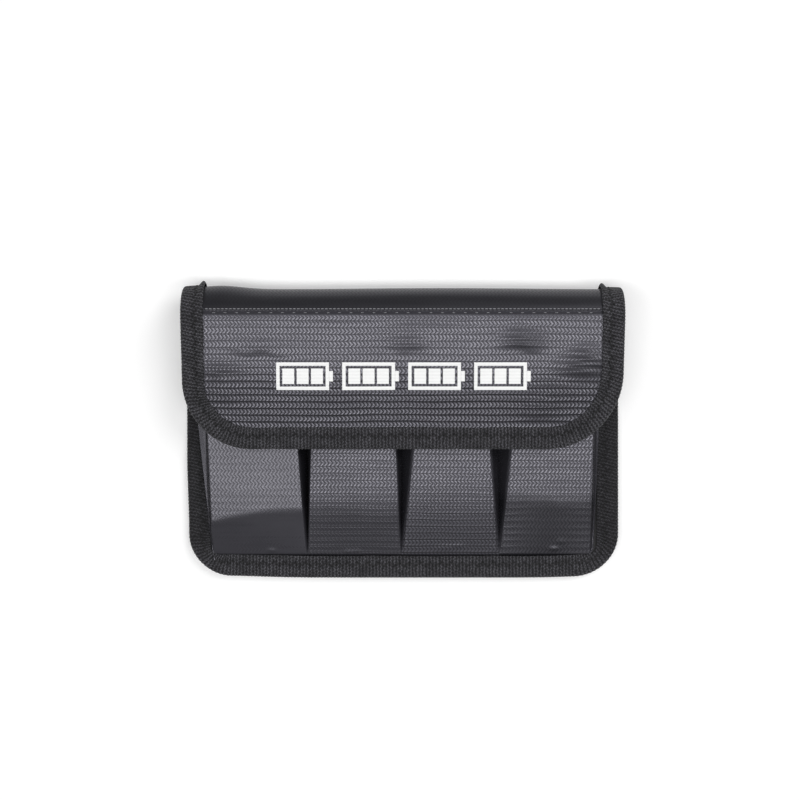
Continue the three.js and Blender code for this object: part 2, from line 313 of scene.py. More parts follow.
# ---- Materials ----
class Value:
    """A number that a material's nodes work out. Arithmetic with it adds the nodes for it."""

    def __init__(self, socket):
        self.socket = socket

    def math(self, operation, *values):
        """One math node's result from some values, or from this one alone."""
        node = self.socket.id_data.nodes.new("ShaderNodeMath")
        node.operation = operation
        for socket, value in zip(node.inputs, values or (self,)):
            put(socket, value)
        return Value(node.outputs[0])

    def __add__(self, other):
        return self.math("ADD", self, other)

    def __sub__(self, other):
        return self.math("SUBTRACT", self, other)

    def __rsub__(self, other):
        return self.math("SUBTRACT", other, self)

    def __mul__(self, other):
        return self.math("MULTIPLY", self, other)

    def __truediv__(self, other):
        return self.math("DIVIDE", self, other)

    def __mod__(self, other):
        return self.math("FLOORED_MODULO", self, other)

    def __pow__(self, other):
        return self.math("POWER", self, other)

    def clamp(self):
        """Keeps the result of the last step between 0 and 1."""
        self.socket.node.use_clamp = True
        return self

    def scale_to(self, low, high):
        """A number from 0 to 1, moved to the range low to high."""
        return self * (high - low) + low

    def wave(self, period):
        """An even wave from 0 to 1."""
        return (self * (2 * math.pi / period)).math("COSINE") * 0.5 + 0.5


def put(socket, value):
    """Links a worked-out value to a socket, or sets a plain number or colour on it."""
    if isinstance(value, Value):
        socket.id_data.links.new(value.socket, socket)
    else:
        socket.default_value = (*value, 1.0) if isinstance(value, tuple) else value


class Nodes:
    """A material's node tree. Lengths in it are mm of UV."""

    def __init__(self, name):
        self.material = bpy.data.materials.new(name)
        self.material.use_nodes = True
        self.tree = self.material.node_tree
        self.shader = self.tree.nodes["Principled BSDF"]

    def new(self, kind):
        return self.tree.nodes.new("ShaderNode" + kind)

    def set(self, name, value):
        put(self.shader.inputs[name], value)

    def uv(self):
        node = self.new("UVMap")
        node.uv_map = "UVMap"
        split = self.new("SeparateXYZ")
        put(split.inputs[0], Value(node.outputs[0]))
        return Value(split.outputs[0]), Value(split.outputs[1])

    def noise(self, u, v, size_u, size_v, detail=2.0):
        place = self.new("CombineXYZ")
        put(place.inputs[0], u / size_u)
        put(place.inputs[1], v / size_v)
        node = self.new("TexNoise")
        put(node.inputs["Scale"], 1.0)
        put(node.inputs["Detail"], detail)
        put(node.inputs["Vector"], Value(place.outputs[0]))
        return Value(node.outputs["Fac"])

    def attribute(self, name):
        node = self.new("Attribute")
        node.attribute_name = name
        return Value(node.outputs["Fac"])

    def mix(self, share, first, second):
        node = self.new("Mix")
        node.data_type = "RGBA"
        node.clamp_factor = True
        for place, value in ((0, share), (6, first), (7, second)):
            put(node.inputs[place], value)
        return Value(node.outputs[2])

    def finish(self, colour, roughness, height=None, relief=0.0, strength=1.0):
        self.set("Base Color", colour)
        self.set("Roughness", roughness)
        if height is not None:
            bump = self.new("Bump")
            put(bump.inputs["Distance"], relief * MM)
            put(bump.inputs["Strength"], strength)
            put(bump.inputs["Height"], height)
            self.set("Normal", Value(bump.outputs[0]))
        return self.material


def coated_material(name, dark, light, relief, gloss):
    """Coated woven fabric: rows of slanting threads, every second row slanting the other way.
    The mesh's weave attribute opens the weave, and its shade attribute, which holds painted shade and a
    painted highlight, darkens it towards near-black where it is low."""
    n = Nodes(name)
    u, v = n.uv()
    drift_u = n.noise(u, v, 26.0, 9.0).scale_to(-0.9, 0.9)
    v_here = v + n.noise(u, v, 40.0, 30.0).scale_to(-0.8, 0.8)
    row = v_here / ROW
    in_row = row.math("FRACT")
    turn = row.math("FLOOR") % 2.0 * 2.0 - 1.0
    slant = (in_row - 0.5) * turn
    thread = (slant * 1.25 + (u + drift_u)).wave(1.66) ** 0.65
    between = (1.0 - (in_row * math.pi).math("SINE")) ** 1.35
    streak = n.noise(u, v, 34.0, 2.0, 3.0)
    deep = v_here.wave(2 * ROW).scale_to(0.1, 1.3) * streak.scale_to(0.35, 1.45)
    weave = n.attribute("weave")
    gap = (between * (deep * (weave * 2.0 - 1.1))).clamp()
    threads = thread * (1.0 - gap)
    ridge = (v_here + 0.5).wave(2 * ROW) * streak.scale_to(0.2, 1.2)
    height = threads * 0.45 + ridge * weave * 0.95
    cloud = n.noise(u, v, 22.0, 16.0)
    # The hollows between the threads are painted darker: painted shade in the weave's recesses.
    hollow = (1.0 - threads) * weave
    even = (1.0 - weave).clamp()
    tone = (even * 0.70 + hollow * streak.scale_to(1.3, 0.5)).clamp()
    # Painted shade: the shade attribute mixes the colour towards near-black.
    colour = n.mix(n.attribute("shade"), (0.003, 0.003, 0.004), n.mix(tone, light, dark))
    roughness = streak * 0.10 + cloud * 0.10 + even * 0.08 + hollow * 0.48 + gloss
    strength = weave * streak.scale_to(0.55, 1.35)
    n.set("Specular IOR Level", 0.66)
    n.set("Specular Tint", (0.91, 0.895, 1.0))
    return n.finish(colour, roughness, height, relief, strength)


def tape_material(name, dark, light):
    """Ribbed woven tape. The ribs are in the mesh, and this adds the yarns that cross them and some fuzz."""
    n = Nodes(name)
    u, v = n.uv()
    drift = n.noise(u, v, 2.2, 1.3).scale_to(-1.1, 1.1)
    across = v * 0.9
    one_way, other_way = (u + across + drift).wave(RIB), (u - across - drift).wave(RIB)
    crossed = u.math("MAXIMUM", one_way, other_way)
    rib = (u + n.noise(u, v, 3.0, 1.6).scale_to(-0.6, 0.6)).wave(RIB)
    stagger = (u / RIB).math("FLOOR") % 2.0 * 0.7
    dots = (v + stagger).wave(1.4) * rib
    fuzz = n.noise(u, v, 0.70, 0.60, 4.0)
    patch = n.noise(u, v, 6.0, 3.5, 3.0)
    height = crossed * 0.3 + dots + fuzz * 1.2
    woven = dots * 1.15 + (crossed * 0.2 + rib * 0.15)
    tone = (woven * fuzz.scale_to(-0.7, 2.1)).clamp()
    # The shade attribute darkens the tape with painted shade.
    tone = (tone * patch.scale_to(0.1, 1.7)).clamp() * n.attribute("shade")
    n.set("Sheen Weight", 0.08)
    n.set("Sheen Roughness", 0.5)
    n.set("Specular IOR Level", 0.25)
    return n.finish(n.mix(tone, dark, light), fuzz.scale_to(0.62, 0.9), height, 0.20)


def lining_material(name, dark, light):
    """Plain woven nylon."""
    n = Nodes(name)
    u, v = n.uv()
    warp, weft = u.wave(0.62), v.wave(0.62)
    height = warp * weft + (1.0 - warp) * (1.0 - weft)
    cloud = n.noise(u, v, 18.0, 14.0, 3.0)
    tone = (height * cloud.scale_to(0.4, 1.4)).clamp()
    n.set("Sheen Weight", 0.15)
    n.set("Specular IOR Level", 0.4)
    return n.finish(n.mix(tone, dark, light), cloud.scale_to(0.5, 0.72), height, 0.05)


def felt_material(name, dark, light):
    """Matted fibres."""
    n = Nodes(name)
    u, v = n.uv()
    fibre = n.noise(u, v, 0.7, 0.5, 6.0)
    tone = (fibre * n.noise(u, v, 9.0, 11.0).scale_to(0.6, 1.5)).clamp()
    return n.finish(n.mix(tone, dark, light), 0.95, fibre, 0.3)


def hook_material(name, dark, light, pitch, relief):
    """Rows of small hooks, or of small loops with a low relief."""
    n = Nodes(name)
    u, v = n.uv()
    drift = n.noise(u, v, 0.9, 0.9, 3.0).scale_to(-0.3, 0.3)
    height = ((u + drift).wave(pitch) * (v - drift).wave(pitch * 1.2)) ** 0.7
    n.set("Sheen Weight", 0.2)
    n.set("Specular IOR Level", 0.35)
    return n.finish(n.mix(height, dark, light), height.scale_to(0.9, 0.6), height, relief)


def thread_material(name, dark, light):
    """Twisted sewing thread."""
    n = Nodes(name)
    u, v = n.uv()
    twist = (u + v).wave(0.3)
    return n.finish(n.mix(twist, dark, light), twist.scale_to(0.6, 0.45), twist, 0.03)


def print_material(name, ink):
    """Ink printed on the weave, with the rows of threads showing through it."""
    n = Nodes(name)
    u, v = n.uv()
    rows = v.wave(ROW)
    shade = tuple(0.86 * c for c in ink)
    return n.finish(n.mix(rows * n.noise(u, v, 4.0, 3.0, 3.0), ink, shade), 0.5, rows, 0.03)


COATED = coated_material("coated_fabric", (0.012, 0.0118, 0.014), (0.102, 0.0998, 0.1175), 0.11, 0.10)
# A smoother copy of the coated fabric for the spine; its darker colours are painted shade.
SMOOTH = coated_material("smooth_coated_fabric", (0.008, 0.008, 0.0095), (0.019, 0.019, 0.022), 0.03, 0.20)
TAPE_CLOTH = tape_material("binding_tape", (0.0025, 0.0025, 0.0028), (0.110, 0.108, 0.122))
LINING = lining_material("lining_cloth", (0.008, 0.008, 0.009), (0.035, 0.035, 0.038))
FELT = felt_material("felt", (0.12, 0.115, 0.10), (0.32, 0.30, 0.27))
HOOKS = hook_material("hook_tape", (0.004, 0.004, 0.004), (0.045, 0.045, 0.048), 0.85, 0.35)
LOOPS = hook_material("loop_tape", (0.008, 0.008, 0.008), (0.040, 0.040, 0.043), 0.55, 0.20)
DARK_THREAD = thread_material("dark_thread", (0.002, 0.002, 0.002), (0.014, 0.014, 0.015))
GREY_THREAD = thread_material("grey_thread", (0.16, 0.16, 0.17), (0.46, 0.46, 0.50))
INK = print_material("white_ink", (0.95, 0.955, 0.95))

# ---- Back panel, spine and flap ----
pieces = {}


def keep(piece, replaces=()):
    """Notes a finished piece, and hides the CAD nodes that it stands for."""
    if replaces:
        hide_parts(*replaces)
    pieces[piece.name] = piece


keep(body_layer("back_fabric", SHELL_DEPTH, COATED, V_30, 0.8), ["back_shell"])
keep(body_layer("back_felt", CORE_DEPTH, FELT, SPINE_Y - 0.2), ["back_core"])
keep(body_layer("back_lining_cloth", LINING_DEPTH, LINING, V_30), ["back_lining"])


def folded_edge_depths(rows):
    """The spine's fabric ends in a folded edge, which turns down beside the fold seam."""
    turn = smooth((rows - V_SEAM + 0.9) / 0.9)
    return SHELL_DEPTH[0] + 0.45 * turn, SHELL_DEPTH[1] + 0.1 * turn


SPINE_PIECES = (("lower", V_30, V_90), ("mid", V_90, V_150), ("upper", V_150, V_SEAM))
for part, low, high in SPINE_PIECES:
    fine_from = high - 1.2
    rows = np.concatenate([steps(low, fine_from, SPINE_STEP), steps(fine_from, high, 0.15)[1:]])
    depths = folded_edge_depths(rows) if part == "upper" else SHELL_DEPTH
    # Painted shade: the spine's fabric is darker towards the fold seam, in the trough beside it.
    shade = 1 - 0.4 * smooth((rows - V_SEAM + 9) / 8)[:, None]
    fabric = spine_layer(f"spine_fabric_{part}", rows, depths, SMOOTH, 0.5, shade)
    keep(fabric, [f"spine_{part}_shell"])
    lining_rows = steps(low, V_FOLD + 1 if part == "upper" else high, SPINE_STEP)
    lining = spine_layer(f"spine_lining_{part}", lining_rows, LINING_DEPTH, LINING)
    keep(lining, [f"spine_{part}_lining"])


def flap_front_depth(rows):
    """The flap's fabric comes out from under the spine's, low in the fold seam, and rises to its place."""
    return SHELL_DEPTH[0] + 0.70 * (1 - smooth((rows - V_FOLD + 1.2) / 1.6))


def flap_weave(rows):
    """The weave starts at the fold seam and is opener towards the flap's lower edge."""
    open_part = 0.92 + 0.55 * smooth((rows - V_FOLD - 16) / 24)
    return (open_part * smooth((rows - V_FOLD - 0.2) / 0.5))[:, None]


def painted_crease_shade(x, v):
    """Painted shade: darker on the side of each crease that faces the fold."""
    d = v - V_FOLD
    dark = 0.0
    for crease_x, crease_d, half_length, half_width, height in CREASES:
        across = (d - crease_d + 0.5 * half_width - 0.06 * (x - crease_x)) / (1.7 * half_width)
        rows = 0.75 + 0.25 * np.cos(math.pi * d / ROW + crease_x)
        dark = dark + 0.75 * height * rows * hump((x - crease_x) / (1.1 * half_length)) * hump(across)
    return 1 - np.minimum(dark, 0.62)


def flap_back_depth(rows):
    return np.maximum(SHELL_DEPTH[1], flap_front_depth(rows) + 0.35)


flap_fabric = flap_layer(
    "flap_fabric",
    V_SEAM - 0.9,
    (flap_front_depth, flap_back_depth),
    COATED,
    flap_weave,
    across=260,
    size=0.6,
    shade=painted_crease_shade,
)
keep(flap_fabric, ["flap_shell"])
flap_felt = flap_layer("flap_felt", V_FOLD + 2, (CORE_DEPTH[0] + 0.35, CORE_DEPTH[1]), FELT)
keep(flap_felt, ["flap_core"])
flap_lining = flap_layer("flap_lining_cloth", V_FOLD + 1, LINING_DEPTH, LINING)
keep(flap_lining, ["flap_lining"])


# ---- Binding tape ----
def edge_depth(v):
    """How thick the bound edge is: the body's edge also holds the pockets' fabric."""
    return BODY_EDGE + (FLAP_EDGE - BODY_EDGE) * smooth((v - 40) / 12)


def flare_at(inward, v):
    """At the top of the spine the tape's inner edge stands up, because the tape can't lie flat there."""
    turn = (v - SPINE_Y) / SPINE_RADIUS
    return 1.9 * hump((inward - 9.0) / 1.3) * hump((turn - math.radians(95)) / math.radians(42))


def tape_profile():
    """The folded tape in section, from its inner edge outside, round the fold, to its inner edge inside.
    Each point is (distance inwards, share of the edge's depth), with the way its ribs stand out."""
    face = [TAPE_FACE, 9.75, 9.3, 8.55, 7.75, 7.25, 6.85, 6.4, 5.9, 5.4, 4.9, 3.7, 2.4]
    fold = 1.2
    out = [(a, 0.0, 0.0, -1.0) for a in face]
    for turn in np.linspace(90, -90, 9):
        c, s = math.cos(math.radians(turn)), math.sin(math.radians(turn))
        out.append((fold - fold * c, 0.5 - 0.5 * s, -c, -s))
    out += [(a, 1.0, 0.0, 1.0) for a in reversed(face)]
    return np.array(out)


PROFILE = tape_profile()
PROFILE_V = running(np.hypot(np.diff(PROFILE[:, 0]), USUAL_EDGE * np.diff(PROFILE[:, 1])))


def edge_noise(s, seed):
    """An uneven wave along a tape, from about -1 to 1."""
    slow, middle, quick = (np.sin(s / size + k * seed) for k, size in ((1, 7.3), (2, 3.1), (3, 1.7)))
    return 0.5 * slow + 0.3 * middle + 0.2 * quick


def at_corner(inward):
    """1 in the middle of a corner of the edge and 0 along its straight parts."""
    return np.abs(2 * inward[:, :1] * inward[:, 1:]) ** 3


def zigzag(count):
    """The zigzag sewing at each step along an edge: -1 on its outer points and 1 on its inner ones."""
    turn = np.arange(count) * EDGE_STEP / ZIGZAG_PITCH
    return np.abs(turn % 1 * 2 - 1) * 2 - 1


def make_tape(name, plan, inward, length, squeeze=0.0):
    """Binding tape along an edge of the plan: its outer edge, the way inwards there, and the length so far.
    Squeeze is how much narrower the gathered tape is in the middle of a corner."""
    a, share, out_a, out_depth = (PROFILE[None, :, i] for i in range(4))
    s = length[:, None]
    width = 1 - squeeze * at_corner(inward) * smooth((a - 1) / 5)
    s = s - 0.25 * inward[:, :1] ** 2 * np.minimum(a, TAPE_FACE)
    rib = RIB_HEIGHT * np.cos(2 * math.pi * s / RIB)
    wander = 0.22 * edge_noise(s, 0.7 + share) * smooth((a - 7) / 3)
    pillow = 0.28 * np.sin(math.pi * np.clip(a / TAPE_FACE, 0, 1)) ** 0.7
    sewn = 0.22 * hump((a - 6.4) / 1.1)
    bead = 0.10 * hump((a - 9.6) / 0.4)
    proud = pillow - sewn + bead + 0.05 * edge_noise(s, 1.9) * smooth(a / 4)

    def side(thickness):
        rib_here = rib if thickness == 0 else 0.0
        in_here = (a + wander) * width + out_a * (rib_here - thickness)
        x = plan[:, :1] + inward[:, :1] * in_here
        v = plan[:, 1:] + inward[:, 1:] * in_here
        total = edge_depth(v)
        raised = proud * np.where((share < 0.5) & (v < V_30), smooth((v - SPINE_Y) / 5), 1.0)
        up = out_depth * (rib_here + raised - thickness)
        depth = share * total + up
        depth = np.where(share > 0.5, np.minimum(depth, total + 0.3), depth)
        on_table = (share < 0.5) & (v < SPINE_Y)
        depth = np.where(on_table, np.maximum(depth, 0.0 if thickness == 0 else thickness), depth)
        return wrap(x, v, depth - flare_at(in_here, v) * (1 - share))

    uv = pairs(s, PROFILE_V[None, :])
    # Painted shade: the body tape's sides are darker below the flap and beside the pockets' walls, darker
    # along the zigzag sewing, and darker still at its points.
    painted_side_shadow = smooth((SPINE_Y - 5 - plan[:, 1:]) / 8) * smooth((plan[:, 1:] + 62) / 14)
    sewing = zigzag(len(plan))[:, None]
    painted_sewing_shade = hump((a - ZIGZAG_AT - ZIGZAG_HALF * sewing) / 0.6)
    painted_hole_shade = painted_sewing_shade * hump((1 - np.abs(sewing)) / 0.35)
    shade = (1 - 0.5 * painted_side_shadow) * (1 - 0.36 * painted_sewing_shade - 0.62 * painted_hole_shade)
    return slab(name, side(0.0), side(TAPE), uv, TAPE_CLOTH, shade=shade, sharp=75)


def loop_path(start_v, end_v, corners):
    """The edge from (left, start_v) to the sheet's end at end_v, round two corners, and back to the right."""
    way = 1 if end_v > start_v else -1
    left, right = corners
    points, inward = [], []

    def line(p0, p1, normal):
        count = max(2, int(math.dist(p0, p1) / EDGE_STEP))
        points.append(np.linspace(p0, p1, count, endpoint=False))
        inward.append(np.repeat([normal], count, 0))

    def turn(centre, radius, from_angle, to_angle):
        count = int(radius * math.pi / 2 / EDGE_STEP)
        t = np.linspace(from_angle, to_angle, count, endpoint=False)
        ray = np.stack([np.cos(t), np.sin(t)], -1)
        points.append(np.array(centre) + radius * ray)
        inward.append(-ray)

    line((-HALF_WIDTH, start_v), (-HALF_WIDTH, end_v - way * left), (1, 0))
    turn((-HALF_WIDTH + left, end_v - way * left), left, math.pi, math.pi - way * math.pi / 2)
    line((-HALF_WIDTH + left, end_v), (HALF_WIDTH - right, end_v), (0, -way))
    turn((HALF_WIDTH - right, end_v - way * right), right, way * math.pi / 2, 0)
    line((HALF_WIDTH, end_v - way * right), (HALF_WIDTH, start_v), (-1, 0))
    points.append(np.array([[HALF_WIDTH, start_v]]))
    inward.append(np.array([[-1.0, 0.0]]))
    points, inward = np.concatenate(points), np.concatenate(inward)
    middle = points + inward * TAPE_FACE / 2
    run = running(np.hypot(*np.diff(middle, axis=0).T))
    whole = round(run[-1] / RIB) * RIB
    return points, inward, run * whole / run[-1] + way * start_v


def side_path(x, low, high):
    """The straight edge at x, from low to high."""
    v = steps(low, high, EDGE_STEP)
    inward = np.repeat([[-math.copysign(1, x), 0.0]], len(v), 0)
    return np.stack([np.full(v.shape, x), v], -1), inward, v


body_path = loop_path(V_30, V_BOTTOM, (BODY_CORNER, BODY_CORNER))
flap_path = loop_path(V_150, V_END, FLAP_CORNERS)
keep(make_tape("body_binding_tape", *body_path, BODY_SQUEEZE), ["body_binding"])
keep(make_tape("flap_binding_tape", *flap_path), ["flap_binding"])
spine_paths = {}
for part, low, high in (("lower", V_30, V_90), ("upper", V_90, V_150)):
    for side_name, x in (("left", -HALF_WIDTH), ("right", HALF_WIDTH)):
        spine_paths[part, side_name] = side_path(x, low, high)
        keep(make_tape(f"spine_{part}_tape_{side_name}", *spine_paths[part, side_name]))
for side_name in ("left", "right"):
    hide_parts(f"spine_lower_binding_{side_name}")
    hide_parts(f"spine_mid_binding_{side_name}", f"spine_upper_binding_{side_name}")


# ---- Pockets ----
# Each front leaves its seam steeply and turns to a gentle slope: how far up at its left side, how much
# farther at its right side, and half the length over which the turn is spread.
TURNS = ((15.4, 5.8, 1.4), (23.5, -0.5, 9.0), (20.5, 1.0, 17.5), (28.0, -2.5, 4.5))
# The weave below the turn and above it, and the painted shade below it and above it, which darkens the same
# fabric differently on each front to stand in for how the lamp falls on it.
LOOKS = ((0.05, 0.46, 0.80, 0.44), (1.1, 0.94, 0.36, 0.88), (1.35, 0.94, 0.72, 0.88), (0.9, 0.94, 0.26, 0.88))
# Small puckers by the bottom seam: pocket, share across, d, half width, half length, height.
PUCKERS = (
    (0, 0.63, 2.4, 1.8, 0.9, 0.20),
    (1, 0.44, 2.0, 2.0, 0.8, 0.20),
    (1, 0.53, 2.2, 1.2, 0.8, 0.22),
    (2, 0.45, 3.6, 3.6, 1.1, 0.26),
    (2, 0.58, 4.6, 2.2, 1.0, 0.22),
    (2, 0.97, 3.0, 1.2, 1.0, 0.20),
    (3, 0.60, 3.2, 1.8, 0.9, 0.24),
    (3, 0.67, 6.5, 1.8, 0.9, 0.16),
)


def turn_at(index, share):
    """How far from the bottom seam a front turns to its gentle slope."""
    start, more, _ = TURNS[index]
    return start + more * (1 - (1 - share) ** 2)


def rise_at(index, share, d):
    """How far a pocket's front has risen at a distance d from the bottom seam."""
    turn = turn_at(index, share)
    spread = TURNS[index][2]
    t = np.clip((d - turn + spread) / (2 * spread), 0, 1)
    steep_length = np.minimum(d, turn - spread) + 2 * spread * (t - t**3 + t**4 / 2)
    extra = (MOUTH_RISE - GENTLE_SLOPE * POCKET_LENGTH) / turn
    return GENTLE_SLOPE * d + extra * steep_length


def edge_x(pocket, side, d):
    """The left or right edge of a front: its sides run straight from the seam to the mouth."""
    seam, mouth = pocket["seam"][side], pocket["mouth"][side]
    return seam + (mouth - seam) * np.clip(d, 0, None) / POCKET_LENGTH


def front_point(index, share, d, height=0.0):
    """A point on a pocket's front: share across, d from the bottom seam, height above its outside."""
    pocket = POCKETS[index]
    share, d, height = np.broadcast_arrays(np.asarray(share, float), np.asarray(d, float), height)
    left, right = edge_x(pocket, 0, d), edge_x(pocket, 1, d)
    crown = -0.40 * np.abs(2 * share - 1) ** 4 * smooth(d / 16)
    wave = 0.10 * np.sin(d / 7.5 + index * 1.7) * np.sin(math.pi * share) * smooth((d - 30) / 10)
    z = SEAM_Z + FRONT / 2 + rise_at(index, share, d) + (crown + wave) * smooth(d / 5) + height
    for puckered, at_share, at_d, half_width, half_length, rise in PUCKERS:
        if puckered == index:
            across = hump((share - at_share) * USUAL_WIDTH / half_width)
            z = z + rise * across * hump((d - at_d) / half_length)
    z = z - 0.50 * (1 - smooth(d / 0.9))
    z = np.where(d < 0, SEAM_Z - 0.2, z)
    return np.stack([left + (right - left) * share, SEAM_Y + d, z], -1)


def foot_points(index, side, d):
    """Where a pocket's side wall ends: sewn down in a valley, or folded back over the side binding."""

    def line(x, z):
        return np.stack([x, SEAM_Y + d, z], -1)

    outer = (index == 0 and side == 0) or (index == len(POCKETS) - 1 and side == 1)
    out = -1 if side == 0 else 1
    if not outer:
        valley = VALLEYS[index - 1 if side == 0 else index]
        front_z = front_point(index, float(side), d)[:, 2]
        return [line(np.full(d.shape, valley - out * 0.02), np.minimum(SEAM_Z + 0.4, front_z - 0.05))]
    near, far = SIDE_FOLDS[side]
    share = np.clip(d, 0, None) / POCKET_LENGTH
    edge = edge_x(POCKETS[index], side, d)
    fold_x = near + (far - near) * share
    fold_x = edge + (fold_x - edge) * smooth((d + 1) / 5)
    over_tape = smooth((np.abs(fold_x) - 86.0) / 1.8)
    fold_z = 3.75 + 1.75 * over_tape
    tuck_x = out * np.minimum(np.abs(fold_x) - 0.5, 86.9)
    knee_x = edge + out * np.minimum(0.8, 0.6 * np.abs(fold_x - edge))
    tuck = line(tuck_x, fold_z - 0.15 - 0.3 * over_tape)
    return [tuck, line(fold_x, fold_z), line(knee_x, fold_z + 0.9 * smooth(d / 12))]


def rounded(points, corner, counts):
    """A section through control points, with round corners of about that size, for every row of them."""
    legs = [np.linalg.norm(b - a, axis=-1, keepdims=True) for a, b in zip(points, points[1:])]
    out = []
    last = points[0]
    for i in range(1, len(points) - 1):
        size = np.minimum(corner[i - 1], 0.42 * np.minimum(legs[i - 1], legs[i]))
        before = points[i] + (points[i - 1] - points[i]) * size / np.maximum(legs[i - 1], 1e-6)
        after = points[i] + (points[i + 1] - points[i]) * size / np.maximum(legs[i], 1e-6)
        for t in np.linspace(0, 1, counts[i - 1], endpoint=False):
            out.append(last + (before - last) * t)
        for t in np.linspace(0, 1, 6, endpoint=False):
            out.append((1 - t) ** 2 * before + 2 * t * (1 - t) * points[i] + t**2 * after)
        last = after
    for t in np.linspace(0, 1, counts[-1]):
        out.append(last + (points[-1] - last) * t)
    return np.stack(out, axis=1)


def row_normals(grid):
    """Unit normals of a grid of points."""
    along = np.gradient(grid, axis=0)
    across = np.gradient(grid, axis=1)
    normal = np.cross(across, along)
    return normal / np.maximum(np.linalg.norm(normal, axis=-1, keepdims=True), 1e-9)


def pocket_look(index, share, d):
    """The weave and the painted shade along a front. Low down the coated fabric is pulled smooth over the
    seam.
    """
    low, high, low_shade, high_shade = LOOKS[index]
    if index == 3:
        low = low * (0.4 + 0.7 * np.abs(2 * share - 1) ** 1.5)
    spread = TURNS[index][2]
    ragged = 0.7 * np.sin(9 * share + 1) + 0.5 * np.sin(23 * share)
    above = smooth((d - turn_at(index, share) + ragged + spread) / (2 * spread))
    return low + (high - low) * above, low_shade + (high_shade - low_shade) * above


# Each pocket cloth's width, length and area before it was folded, in mm.
pocket_cuts = []


def make_pocket(index):
    """One pocket's front with the walls at its two sides, as one sheet."""
    name = f"pocket_{index + 1}"
    by_seam = [-3.0, -1.5, -0.4, 0.0, 0.25, 0.5, 0.75, 1.1]
    d = np.concatenate([by_seam, steps(1.5, 6, 0.5), steps(6, POCKET_LENGTH, 1.0)[1:]])
    face_shares = np.linspace(0, 1, 41)
    left = foot_points(index, 0, d)
    right = foot_points(index, 1, d)[::-1]
    face = [front_point(index, s, d) for s in face_shares]
    bends = [0.4, 1.2, 0.7]
    wall_left = rounded([*left, face[0], face[1]], bends[-len(left) :], [8] * (len(left) + 1))
    wall_right = rounded([face[-2], face[-1], *right], bends[::-1][: len(right)], [8] * (len(right) + 1))
    grid = np.concatenate([wall_left[:, :-1], np.stack(face[2:-2], 1), wall_right[:, 1:]], axis=1)
    inside = grid - row_normals(grid) * FRONT
    inside[:, :, 2] = np.maximum(inside[:, :, 2], SEAM_Z - FRONT / 2)
    step = np.linalg.norm(np.diff(grid, axis=1), axis=-1)
    across = np.concatenate([np.zeros((len(d), 1)), np.cumsum(step, axis=1)], axis=1)
    widths = across[:, -1]
    pocket_cuts.append((widths.max(), d[-1] - d[0], np.trapz(widths, d)))
    across = across - across[:, [across.shape[1] // 2]]
    uv = pairs(across + 200.0 * index, d[:, None] + SEAM_Y)
    x0, x1 = edge_x(POCKETS[index], 0, d)[:, None], edge_x(POCKETS[index], 1, d)[:, None]
    share = np.clip((grid[:, :, 0] - x0) / (x1 - x0), 0, 1)
    on_face = smooth((grid[:, :, 2] - front_point(index, share, d[:, None])[:, :, 2] + 2.2) / 1.6)
    weave, shade = pocket_look(index, share, d[:, None])
    weave = weave * (0.05 + 0.95 * on_face)
    # Painted shade: the side walls are darker than the face, and a painted shadow line runs along the bottom
    # seam below the tape's edge.
    painted_seam_shadow = 0.06 + 0.94 * smooth((d - 0.1) / 0.6)
    shade = shade * (0.42 + 0.58 * on_face) * painted_seam_shadow[:, None]
    # A painted highlight along the fold of each outer wall.
    for foot in (left, right):
        if len(foot) == 3:
            shade = shade + 0.9 * hump((grid[:, :, 0] - foot[1][:, :1]) / 0.45) * (1 - on_face)
    piece = slab(f"{name}_cloth", grid, inside, uv, COATED, weave, shade, 80)
    keep(piece, [f"{name}_front"])


def make_hem(index):
    """Tape folded over a pocket's mouth: its outer and inner face in section, past the mouth and up."""
    name = f"pocket_{index + 1}"
    shares = np.linspace(0.045, 0.955, 40)[:, None]
    end = POCKET_LENGTH + 0.1
    low, high = -FRONT - 0.1, 0.1
    out = [(-6, high + TAPE), (-4.5, 0.68), (-2, 0.68), (-0.2, high + TAPE), (0.42, 0.25), (TAPE, -FRONT / 2)]
    out += [(0.42, -0.95), (-0.2, low - TAPE), (-3, -FRONT - 0.66), (-6, low - TAPE)]
    inner = [(-6, high), (-4.5, 0.12), (-2, 0.12), (-0.5, high), (-0.1, 0.0), (0, -FRONT / 2)]
    inner += [(-0.1, -0.7), (-0.5, low), (-3, -FRONT - 0.12), (-6, low)]

    def grid(section):
        along, height = np.transpose(section)[:, None, :]
        return front_point(index, shares, end + along, height)

    uv = pairs(40 * shares, np.linspace(0, 14, len(out))[None, :])
    hem = slab(f"{name}_hem_tape", grid(out), grid(inner), uv, TAPE_CLOTH)
    keep(hem, [f"{name}_hem"])


def make_patch(index):
    """The soft half of the closure, on a pocket's front near its mouth."""
    name = f"pocket_{index + 1}"
    d = steps(*PATCH_ROWS, 1.0)[:, None]
    x = np.linspace(-PATCH_HALF, PATCH_HALF, 25)[None, :] + sum(POCKETS[index]["mouth"]) / 2
    left, right = edge_x(POCKETS[index], 0, d), edge_x(POCKETS[index], 1, d)
    share = (x - left) / (right - left)
    top, under = (front_point(index, share, d, height) for height in (0.95, 0.08))
    patch = slab(f"{name}_loop_tape", top, under, pairs(x, d), LOOPS)
    keep(patch, [f"{name}_loop_patch"])


for pocket_index in range(len(POCKETS)):
    make_pocket(pocket_index)
    make_hem(pocket_index)
    make_patch(pocket_index)
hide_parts("gusset_left", "gusset_1_2")
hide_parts("gusset_2_3")
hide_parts("gusset_3_4")
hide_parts("gusset_right")


